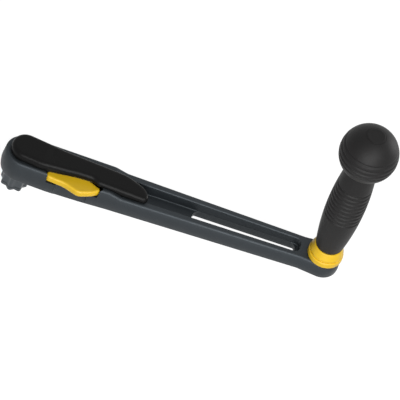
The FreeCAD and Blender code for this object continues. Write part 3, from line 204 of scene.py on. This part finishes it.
def finish(name, colour, roughness, metallic=0.0, mottle=0.06, mottle_mm=6.0,
           grain_mm=0.3, grain_height=0.01 * MM, ior=None, specular=0.5):
    """A finish with faint mottling, uneven gloss and a fine grain, all on Object coordinates."""
    material = bpy.data.materials.new(name)
    material.use_nodes = True
    tree = material.node_tree
    surface = tree.nodes["Principled BSDF"]
    place = add_node(tree, "ShaderNodeTexCoord").outputs["Object"]

    # Noise scale is features per metre, so a size in millimetres becomes 1000 / size.
    cloud = add_node(tree, "ShaderNodeTexNoise",
                     {"Vector": place, "Scale": 1 / (mottle_mm * MM), "Detail": 3.0}).outputs["Fac"]
    shade = add_node(tree, "ShaderNodeMapRange",
                     {"Value": cloud, "From Min": 0.3, "From Max": 0.7,
                      "To Min": 1 - mottle, "To Max": 1 + mottle}).outputs["Result"]
    tint = add_node(tree, "ShaderNodeMix", data_type="RGBA", blend_type="MULTIPLY")
    tint.inputs["Factor"].default_value = 1.0
    tint.inputs[6].default_value = (*colour, 1)
    tree.links.new(shade, tint.inputs[7])
    tree.links.new(tint.outputs[2], surface.inputs["Base Color"])

    gloss = add_node(tree, "ShaderNodeTexNoise",
                     {"Vector": place, "Scale": 1 / (mottle_mm * 0.35 * MM), "Detail": 2.0}).outputs["Fac"]
    rough = add_node(tree, "ShaderNodeMapRange",
                     {"Value": gloss, "From Min": 0.3, "From Max": 0.7,
                      "To Min": roughness - GLOSS_SPREAD,
                      "To Max": roughness + GLOSS_SPREAD}).outputs["Result"]
    tree.links.new(rough, surface.inputs["Roughness"])

    speck = add_node(tree, "ShaderNodeTexNoise",
                     {"Vector": place, "Scale": 1 / (grain_mm * MM), "Detail": 2.0}).outputs["Fac"]
    bump = add_node(tree, "ShaderNodeBump", {"Height": speck, "Strength": 1.0, "Distance": grain_height})
    tree.links.new(bump.outputs["Normal"], surface.inputs["Normal"])

    surface.inputs["Metallic"].default_value = metallic
    surface.inputs["Specular IOR Level"].default_value = specular
    if ior is not None:
        surface.inputs["IOR"].default_value = ior
    material.diffuse_color = (*colour, 1)
    return material


def make_finishes(colours, sizes):
    """One finish for each material slot of the record."""
    return {
        # Forged, blasted and anodised dark: a soft sheen along the sides and no mirror. The blasted
        # grain is too fine to show, so it is drawn at 0.35 mm.
        "arm_metal": finish("Dark anodised aluminium", tuple(colours.metal), 0.5, metallic=0.6,
                            mottle=0.04, mottle_mm=9.0, grain_mm=0.35, grain_height=0.006 * MM),
        # The same anodised finish on flat sheet, hidden under the pad.
        "cover_metal": finish("Dark anodised aluminium sheet", tuple(colours.metal), 0.5, metallic=0.6,
                              mottle=0.04, mottle_mm=7.0, grain_mm=0.35, grain_height=0.006 * MM),
        # Machined steel: grey points with soft lights. The colour is matched to the photograph, where
        # the star is darker than stainless steel usually is.
        "stainless": finish("Stainless steel, machined", tuple(colours.steel), 0.38, metallic=1.0,
                            mottle=0.05, mottle_mm=2.5, grain_mm=0.5, grain_height=0.004 * MM),
        # Drawn wire: an even grey with a low shine.
        "spring_steel": finish("Spring steel wire", srgb("#7c7d80"), 0.38, metallic=1.0, mottle_mm=2.0),
        # Turned acetal: a milky white with a waxy gloss.
        "bearing_plastic": finish("Acetal, natural white", srgb("#d9d6cc"), 0.45, ior=1.48),
        # Moulded O-ring: dull and nearly black.
        "seal_rubber": finish("Nitrile rubber", srgb("#1a1a1a"), 0.6, ior=1.5),
        # Injection moulded: a full, even yellow with a broad satin light on its edges.
        "signal_plastic": finish("Yellow nylon, satin moulding", tuple(colours.yellow), 0.42,
                                 mottle=0.025, mottle_mm=5.0, grain_mm=0.4, grain_height=0.005 * MM,
                                 ior=1.53),
        # Moulded over the head: nearly black, with a grained light on its shoulder. The real grain is
        # too fine to show, so it is drawn at 0.9 mm. The specular level is matched to the photograph.
        "soft_black": finish("Black thermoplastic rubber, grained", tuple(colours.soft), 0.37,
                             mottle=0.12, mottle_mm=2.4, grain_mm=0.9, grain_height=sizes.pad_grain * 0.55,
                             ior=1.5, specular=0.12),
        # Moulded with a fine texture: a dry black whose light spreads over ball and barrel. The real
        # grain is too fine to show, so it is drawn at 1.2 mm, and the specular level is matched too.
        "grip_black": finish("Black soft-touch nylon, grained", tuple(colours.grip), 0.52,
                             mottle=0.1, mottle_mm=2.4, grain_mm=1.2,
                             grain_height=sizes.pad_grain, ior=1.53, specular=0.2),
    }


def scene_finish(context, slot):
    """The finish for a material slot of the record, made once for the whole scene."""
    if not FINISHES:
        FINISHES.update(make_finishes(context.scene.crank_handle_colours, context.scene.crank_handle_sizes))
    return FINISHES[slot]


FINISHES = {}


# Shared steps.


def only(obj):
    """Makes obj the one selected and active object."""
    bpy.ops.object.select_all(action="DESELECT")
    obj.select_set(True)
    bpy.context.view_layer.objects.active = obj


def place_piece(context, obj, slot, body, nodes):
    """Gives a finished piece its material and its body, and hides the CAD nodes that it stands for."""
    obj.data.materials.clear()
    obj.data.materials.append(scene_finish(context, slot))
    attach(obj, body)
    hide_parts(*nodes)


def smooth_edges(obj, angle):
    """Smooth faces with sharp edges kept, and normals that follow the large faces."""
    only(obj)
    bpy.ops.object.shade_smooth_by_angle(angle=math.radians(angle))
    bpy.ops.object.modifier_add(type="WEIGHTED_NORMAL")
    obj.modifiers[-1].keep_sharp = True
    bpy.ops.object.modifier_apply(modifier=obj.modifiers[-1].name)


def copy_node(context, node, name, merged=True):
    """A new object with a CAD node's shape, its split vertices merged or its own normals kept."""
    obj = bpy.data.objects.new(name, frame["nodes"][node].data.copy())
    obj.data.name = name
    context.scene.collection.objects.link(obj)
    only(obj)
    if not merged:
        return obj
    bpy.ops.object.mode_set(mode="EDIT")
    bpy.ops.mesh.select_all(action="SELECT")
    bpy.ops.mesh.remove_doubles(threshold=0.001 * MM)
    bpy.ops.mesh.normals_make_consistent(inside=False)
    bpy.ops.object.mode_set(mode="OBJECT")
    return obj


def even_skin(obj, grid, passes):
    """Remakes a moulded piece with small even faces and relaxes them, which softens its edges."""
    obj.data.remesh_voxel_size = grid
    obj.data.use_remesh_fix_poles = False
    bpy.ops.object.voxel_remesh()
    bpy.ops.object.modifier_add(type="SMOOTH")
    relax = obj.modifiers[-1]
    relax.factor = 0.5
    relax.iterations = passes
    bpy.ops.object.modifier_apply(modifier=relax.name)
    bpy.ops.object.shade_smooth()


def wall_span(x):
    """Lowest and highest millimetre of the arm's side wall at one place along it."""
    low = WALL_FOOT + max(0.0, x - UNDERSIDE_START) * math.tan(math.radians(UNDERSIDE_SLOPE))
    ramp = min(1, max(0, (x - RAMP_START) / (RAMP_END - RAMP_START)))
    return low, HEAD_WALL_TOP + (ARM_WALL_TOP - HEAD_WALL_TOP) * ramp


def crown_walls(obj):
    """Leans the normals of the drafted walls from foot to rim, to shade like crowned forged sides."""
    mesh = obj.data
    normals = [corner.vector.copy() for corner in mesh.corner_normals]
    for face in mesh.polygons:
        x = face.center.x / MM
        spine = Vector((min(AXIS_X, max(0.0, face.center.x)), 0))
        away = face.center.xy - spine
        facing = face.normal.xy.dot(away.normalized()) if away.length > 0 else 0
        if facing > 0.5 and away.length > OUTER_FROM * MM:
            lean, foot = OUTER_LEAN, 0
        elif facing < -0.5 and CHANNEL_START < x < CHANNEL_END and face.center.z > CHANNEL_FOOT * MM:
            lean, foot = INNER_LEAN, CHANNEL_FOOT
        else:
            continue
        for index in face.loop_indices:
            point = mesh.vertices[mesh.loops[index].vertex_index].co / MM
            low, high = wall_span(point.x)
            low = max(low, foot)
            share = min(1, max(0, (point.z - low) / (high - low)))
            tilt = math.degrees(math.asin(max(-1, min(1, normals[index].z))))
            flat = normals[index].xy
            if lean[0] - LEAN_SLACK <= tilt <= lean[1] and flat.length > 0:
                turned = math.radians(lean[0] + (lean[1] - lean[0]) * share)
                flat = flat.normalized() * math.cos(turned)
                normals[index] = Vector((flat.x, flat.y, math.sin(turned)))
    mesh.normals_split_custom_set(normals)


def rounded(corners):
    """A closed profile of (radius, height, rounding) corners as points, each corner an arc."""
    points = []
    count = len(corners)
    for i, (x, y, rounding) in enumerate(corners):
        here = Vector((x, y))
        if rounding == 0:
            points.append(here)
            continue
        before = (Vector(corners[i - 1][:2]) - here).normalized()
        after = (Vector(corners[(i + 1) % count][:2]) - here).normalized()
        half = before.angle(after) / 2
        reach = rounding / math.tan(half)
        centre = here + (before + after).normalized() * rounding / math.sin(half)
        first = here + before * reach - centre
        last = here + after * reach - centre
        turn = math.atan2(first.x * last.y - first.y * last.x, first.dot(last))
        for step in range(CORNER_STEPS + 1):
            points.append(centre + Matrix.Rotation(turn * step / CORNER_STEPS, 2) @ first)
    return points


def spin_profile(name, points):
    """Draws a closed profile vertex by vertex beside the grip's axis and spins it round."""
    bpy.ops.object.select_all(action="DESELECT")
    start = Vector((AXIS_X + points[0].x * MM, 0, points[0].y * MM))
    bpy.ops.mesh.primitive_plane_add(size=MM, location=(0, 0, 0))
    obj = bpy.context.object
    obj.name = obj.data.name = name
    bpy.ops.object.mode_set(mode="EDIT")
    bpy.ops.mesh.select_all(action="SELECT")
    bpy.ops.mesh.merge(type="CENTER")
    bpy.ops.transform.translate(value=start)
    previous = points[0]
    for point in points[1:] + points[:1]:
        step = (point - previous) * MM
        bpy.ops.mesh.extrude_region_move(TRANSFORM_OT_translate={"value": (step.x, 0, step.y)})
        previous = point
    bpy.ops.mesh.select_all(action="SELECT")
    bpy.ops.mesh.spin(steps=SPIN_STEPS, angle=math.tau, center=(AXIS_X, 0, 0), axis=(0, 0, 1))
    bpy.ops.mesh.select_all(action="SELECT")
    bpy.ops.mesh.remove_doubles(threshold=0.002 * MM)
    bpy.ops.mesh.normals_make_consistent(inside=False)
    bpy.ops.object.mode_set(mode="OBJECT")
    return obj


def grooved(heights, radius_at, grooves, depth, half):
    """Points up a turned side, with soft grooves sunk square to the axis."""
    points = []
    for height in heights:
        sunk = 0.0
        for groove in grooves:
            away = abs(height - groove)
            if away < half:
                sunk = depth * 0.5 * (1 + math.cos(math.pi * away / half))
        points.append(Vector((radius_at(height) - sunk, height)))
    return points


def steps_between(low, high, pitch):
    count = max(1, round((high - low) / pitch))
    return [low + (high - low) * i / count for i in range(count + 1)]


def barrel_at(height):
    """The barrel's radius in millimetres at one height."""
    rise = height - BARREL_WIDEST
    return BARREL_RADIUS - BARREL_SWEEP + math.sqrt(BARREL_SWEEP ** 2 - rise ** 2)


def ball_at(height):
    """The ball's radius in millimetres at one height."""
    return math.sqrt(max(0.0, BALL_RADIUS ** 2 - (height - BALL_CENTRE) ** 2))


# Pieces.


class CRANK_OT_arm(bpy.types.Operator):
    """Build the forged arm and the plate that closes its mechanism"""
    bl_idname = "crank_handle.arm"
    bl_label = "Arm and cover plate"

    def execute(self, context):
        # Both keep the CAD mesh's own normals: merged, the arm's long faces shaded in streaks.
        for node, slot in (("arm", "arm_metal"), ("cover_plate", "cover_metal")):
            obj = copy_node(context, node, node + "_shell", merged=False)
            if node == "arm":
                crown_walls(obj)
            place_piece(context, obj, slot, "arm", [node])
        return {"FINISHED"}


class CRANK_OT_drive(bpy.types.Operator):
    """Build the drive stud and the lock plate at its tip"""
    bl_idname = "crank_handle.drive"
    bl_label = "Drive stud and lock plate"

    def execute(self, context):
        for node, body in (("drive_stud", "arm"), ("lock_plate", "lock")):
            obj = copy_node(context, node, node + "_star")
            only(obj)
            bpy.ops.object.modifier_add(type="BEVEL")
            bevel = obj.modifiers[-1]
            bevel.width = STAR_BEVEL
            bevel.segments = 2
            bevel.limit_method = "ANGLE"
            bevel.angle_limit = math.radians(50)
            bpy.ops.object.modifier_apply(modifier=bevel.name)
            smooth_edges(obj, 32)
            place_piece(context, obj, "stainless", body, [node])
        return {"FINISHED"}


class CRANK_OT_lever(bpy.types.Operator):
    """Build the yellow thumb lever"""
    bl_idname = "crank_handle.lever"
    bl_label = "Thumb lever"

    def execute(self, context):
        obj = copy_node(context, "thumb_lever", "thumb_lever_moulding")
        even_skin(obj, LEVER_GRID, LEVER_PASSES)
        place_piece(context, obj, "signal_plastic", "lever", ["thumb_lever"])
        return {"FINISHED"}


class CRANK_OT_pad(bpy.types.Operator):
    """Build the soft palm pad with a fine even skin"""
    bl_idname = "crank_handle.pad"
    bl_label = "Palm pad"

    def execute(self, context):
        sizes = context.scene.crank_handle_sizes
        obj = copy_node(context, "palm_pad", "palm_pad_cushion")
        even_skin(obj, sizes.pad_grid, sizes.pad_passes)
        place_piece(context, obj, "soft_black", "arm", ["palm_pad"])
        return {"FINISHED"}


class CRANK_OT_collar(bpy.types.Operator):
    """Turn the yellow collar: a band, a fine groove and a cone"""
    bl_idname = "crank_handle.collar"
    bl_label = "Collar"

    def execute(self, context):
        band_top = COLLAR_FOOT + COLLAR_BAND
        groove_top = band_top + COLLAR_GROOVE
        step_top = groove_top + COLLAR_STEP_HEIGHT
        inner = COLLAR_FOOT + AXLE_FLANGE_HEIGHT
        points = rounded([
            (AXLE_FLANGE, COLLAR_FOOT, 0),
            (COLLAR_RADIUS, COLLAR_FOOT, 1.0),
            (COLLAR_RADIUS, band_top, 1.2),
            (COLLAR_RADIUS - COLLAR_GROOVE_DEPTH, band_top, 0.3),
            (COLLAR_RADIUS - COLLAR_GROOVE_DEPTH, groove_top, 0.3),
            (COLLAR_RADIUS - COLLAR_STEP, groove_top, 0.45),
            (COLLAR_RADIUS - COLLAR_STEP, step_top, 0.9),
            (COLLAR_RADIUS - COLLAR_TAPER, COLLAR_TOP, 0.7),
            (COLLAR_BORE, COLLAR_TOP, 0),
            (COLLAR_BORE, inner, 0),
            (AXLE_FLANGE, inner, 0),
        ])
        obj = spin_profile("collar_ring", points)
        smooth_edges(obj, 40)
        place_piece(context, obj, "signal_plastic", "arm", ["grip_collar"])
        return {"FINISHED"}


class CRANK_OT_barrel(bpy.types.Operator):
    """Turn the barrel of the grip with its soft grooves"""
    bl_idname = "crank_handle.barrel"
    bl_label = "Grip barrel"

    def execute(self, context):
        sizes = context.scene.crank_handle_sizes
        end = BALL_FOOT
        side = grooved(steps_between(SLEEVE_FOOT + 1.2, end, BARREL_PITCH), barrel_at, BARREL_GROOVES,
                       sizes.groove_depth / MM, sizes.groove_half / MM)
        foot = [Vector((barrel_at(SLEEVE_FOOT) - inset, SLEEVE_FOOT + rise))
                for inset, rise in ((1.2, -LIP), (0.7, 0.12 - LIP), (0.3, 0.4 - LIP), (0.08, 0.8))]
        low_seat = SLEEVE_FOOT + BUSH_FLANGE_HEIGHT
        inside = [
            (NECK_RADIUS, end), (NECK_RADIUS, SLEEVE_TOP), (BUSH_RADIUS, SLEEVE_TOP),
            (BUSH_RADIUS, SLEEVE_TOP - BUSH_LENGTH), (BORE_RADIUS, SLEEVE_TOP - BUSH_LENGTH),
            (BORE_RADIUS, low_seat + BUSH_LENGTH), (BUSH_RADIUS, low_seat + BUSH_LENGTH),
            (BUSH_RADIUS, low_seat), (BUSH_FLANGE_RADIUS, low_seat), (BUSH_FLANGE_RADIUS, SLEEVE_FOOT),
            (LIP_INSIDE, SLEEVE_FOOT), (LIP_INSIDE, SLEEVE_FOOT - LIP),
        ]
        obj = spin_profile("grip_barrel", foot + side + [Vector(point) for point in inside])
        smooth_edges(obj, 40)
        place_piece(context, obj, "grip_black", "grip", ["grip_sleeve"])
        return {"FINISHED"}


class CRANK_OT_ball(bpy.types.Operator):
    """Turn the ball of the grip with its grooves and the plug in its top"""
    bl_idname = "crank_handle.ball"
    bl_label = "Ball and plug"

    def execute(self, context):
        sizes = context.scene.crank_handle_sizes
        rim = BALL_CENTRE + math.sqrt(BALL_RADIUS ** 2 - PLUG_RADIUS ** 2)
        low = math.asin((BALL_FOOT - BALL_CENTRE) / BALL_RADIUS)
        high = math.asin((rim - 0.12 - BALL_CENTRE) / BALL_RADIUS)
        heights = [BALL_CENTRE + BALL_RADIUS * math.sin(angle)
                   for angle in steps_between(low, high, math.radians(BALL_PITCH))]
        side = grooved(heights, ball_at, BALL_GROOVES, sizes.groove_depth / MM, sizes.groove_half / MM)
        inside = [
            (PLUG_RADIUS + 0.12, rim - 0.1), (PLUG_RADIUS, rim - 0.3), (PLUG_RADIUS, PLUG_SEAT),
            (SCREW_HOLE, PLUG_SEAT), (SCREW_HOLE, SCREW_ROOM_TOP), (NECK_RADIUS, SCREW_ROOM_TOP),
            (NECK_RADIUS, BALL_FOOT),
        ]
        ball = spin_profile("grip_ball", side + [Vector(point) for point in inside])
        smooth_edges(ball, 40)
        place_piece(context, ball, "grip_black", "grip", ["ball_knob"])

        floor = PLUG_TOP - 0.1
        plug = spin_profile("ball_plug", rounded([
            (0.02, PLUG_FOOT, 0),
            (PLUG_RADIUS - PLUG_GAP, PLUG_FOOT, 0),
            (PLUG_RADIUS - PLUG_GAP, PLUG_TOP - 0.35, 0.2),
            (PLUG_RADIUS - 1.2, PLUG_TOP, 1.0),
            (PLUG_RADIUS - 3.2, floor, 4.0),
            (0.02, floor, 0),
        ]))
        smooth_edges(plug, 50)
        place_piece(context, plug, "grip_black", "grip", ["knob_plug"])
        return {"FINISHED"}


class CRANK_OT_works(bpy.types.Operator):
    """Give the working parts inside the handle their finishes"""
    bl_idname = "crank_handle.works"
    bl_label = "Inner parts"

    def execute(self, context):
        slots = {entry["node"]: entry["material_slot"] for entry in frame["record"]["subparts"]}
        shown = [node for node in slots if not frame["nodes"][node].hide_render]
        for node in shown:
            obj = frame["nodes"][node]
            if not obj.material_slots:
                obj.data.materials.append(None)
            for slot in obj.material_slots:
                slot.material = scene_finish(context, slots[node])
        return {"FINISHED"}


# Studio.


# Name, direction from the handle's middle, distance and size in metres, and power in watts.
LAMPS = (
    ("key", (0.12, -0.90, 0.42), 1.3, 1.0, 17),
    ("fill", (0.45, -0.50, 0.75), 1.3, 0.8, 6),
    ("back", (0.80, 0.58, 0.20), 1.6, 0.6, 6.5),
)
FLOOR_SIZE = 24
FLOOR_GAP = 0.05 * MM
ROOM_LIGHT = 0.05

# The camera's turn, height and roll in degrees, its distance and its aim in millimetres.
VIEW_ANGLES = (-5.5, 50, 22.8)
VIEW_DISTANCE = 8333
VIEW_MIDDLE = (127, 0, 21.8)
VIEW_SHIFT = (19.44, 1.24)


def area_light(context, name, direction, distance, size, power):
    """A square soft light that shines on the middle of the handle from one direction."""
    target = Vector((127, 0, 20)) * MM
    lamp = bpy.data.lights.new(name, "AREA")
    lamp.shape = "SQUARE"
    lamp.size = size
    lamp.energy = power
    obj = bpy.data.objects.new(name, lamp)
    way = Vector(direction).normalized()
    obj.location = target + way * distance
    obj.rotation_euler = (-way).to_track_quat("-Z", "Y").to_euler()
    context.scene.collection.objects.link(obj)


def add_camera(context):
    """The long lens that took the picture: 50 degrees above the handle and rolled 22.8 degrees."""
    turn, height, roll = (math.radians(angle) for angle in VIEW_ANGLES)
    right = Vector((math.cos(turn), math.sin(turn), 0))
    ahead = Vector((-math.sin(turn) * math.cos(height), math.cos(turn) * math.cos(height), -math.sin(height)))
    up = right.cross(ahead)
    side = right * math.cos(roll) + up * math.sin(roll)
    top = up * math.cos(roll) - right * math.sin(roll)
    middle = Vector(VIEW_MIDDLE) + side * VIEW_SHIFT[0] + top * VIEW_SHIFT[1]
    spot = (middle - ahead * VIEW_DISTANCE) * MM
    camera = bpy.data.cameras.new("camera")
    camera.lens = 937.5
    camera.sensor_width = 36
    camera.clip_start = 0.1
    camera.clip_end = 30
    obj = bpy.data.objects.new("camera", camera)
    turned = Matrix((side, top, -ahead)).transposed().to_4x4()
    obj.matrix_world = Matrix.Translation(spot) @ turned
    context.scene.collection.objects.link(obj)
    context.scene.camera = obj


def seen_share(tree):
    """One for rays to the eye and in reflections, nothing for the light that falls on the handle."""
    path = add_node(tree, "ShaderNodeLightPath").outputs
    direct = add_node(tree, "ShaderNodeMath", {0: path["Is Camera Ray"], 1: path["Is Transmission Ray"]},
                      operation="MAXIMUM").outputs[0]
    return add_node(tree, "ShaderNodeMath", {0: path["Is Glossy Ray"], 1: direct},
                    operation="MAXIMUM").outputs[0]


def floor_material():
    """White paper: bright to the eye and in reflections, a matt grey to the light that bounces off it."""
    material = bpy.data.materials.new("White paper")
    material.use_nodes = True
    tree = material.node_tree
    tree.nodes.clear()
    matt = add_node(tree, "ShaderNodeBsdfDiffuse", {"Color": (*srgb("#404040"), 1)})
    veil = add_node(tree, "ShaderNodeBsdfDiffuse", {"Color": (0.2, 0.2, 0.2, 1)})
    glow = add_node(tree, "ShaderNodeEmission", {"Color": (1, 1, 1, 1), "Strength": 0.95})
    bright = add_node(tree, "ShaderNodeAddShader", {0: glow.outputs[0], 1: veil.outputs[0]})
    mixed = add_node(tree, "ShaderNodeMixShader",
                     {0: seen_share(tree), 1: matt.outputs[0], 2: bright.outputs[0]})
    add_node(tree, "ShaderNodeOutputMaterial", {"Surface": mixed.outputs[0]})
    return material


def studio_air():
    """White to the eye and in reflections, and a dim even light to everything else."""
    world = bpy.data.worlds.new("studio_air")
    world.use_nodes = True
    tree = world.node_tree
    level = add_node(tree, "ShaderNodeMapRange",
                     {"Value": seen_share(tree), "To Min": ROOM_LIGHT, "To Max": 1.0})
    air = tree.nodes["Background"]
    air.inputs["Color"].default_value = (1, 1, 1, 1)
    tree.links.new(level.outputs["Result"], air.inputs["Strength"])
    return world


class CRANK_OT_stage(bpy.types.Operator):
    """Set up the floor, the lights, the surroundings and the camera"""
    bl_idname = "crank_handle.stage"
    bl_label = "Studio"

    def execute(self, context):
        bpy.ops.object.select_all(action="DESELECT")
        bpy.ops.mesh.primitive_plane_add(size=FLOOR_SIZE, location=(0.127, 0, CAD_BOX[0][2] - FLOOR_GAP))
        floor = context.object
        floor.name = floor.data.name = "studio_floor"
        floor.data.materials.append(floor_material())

        for lamp in LAMPS:
            area_light(context, *lamp)
        context.scene.world = studio_air()
        context.scene.view_settings.view_transform = "Standard"
        add_camera(context)
        return {"FINISHED"}


class CRANK_PT_panel(bpy.types.Panel):
    """Lists the sizes, the colours and the pieces of the crank handle"""
    bl_idname = "CRANK_PT_panel"
    bl_label = "Crank handle"
    bl_space_type = "VIEW_3D"
    bl_region_type = "UI"
    bl_category = "Crank handle"

    def draw(self, context):
        for group in (context.scene.crank_handle_sizes, context.scene.crank_handle_colours):
            for name in group.__annotations__:
                self.layout.prop(group, name)
        for operator in OPERATORS:
            self.layout.operator(operator.bl_idname)


OPERATORS = (CRANK_OT_arm, CRANK_OT_drive, CRANK_OT_lever, CRANK_OT_pad, CRANK_OT_collar,
             CRANK_OT_barrel, CRANK_OT_ball, CRANK_OT_works, CRANK_OT_stage)
CLASSES = (CrankHandleSizes, CrankHandleColours) + OPERATORS + (CRANK_PT_panel,)


def register():
    for item in CLASSES:
        bpy.utils.register_class(item)
    bpy.types.Scene.crank_handle_sizes = PointerProperty(type=CrankHandleSizes)
    bpy.types.Scene.crank_handle_colours = PointerProperty(type=CrankHandleColours)


def unregister():
    del bpy.types.Scene.crank_handle_colours
    del bpy.types.Scene.crank_handle_sizes
    for item in reversed(CLASSES):
        bpy.utils.unregister_class(item)


def main():
    register()
    bpy.ops.crank_handle.arm()
    bpy.ops.crank_handle.drive()
    bpy.ops.crank_handle.lever()
    bpy.ops.crank_handle.pad()
    bpy.ops.crank_handle.collar()
    bpy.ops.crank_handle.barrel()
    bpy.ops.crank_handle.ball()
    bpy.ops.crank_handle.works()
    bpy.ops.crank_handle.stage()


if __name__ == "__main__":
    main()
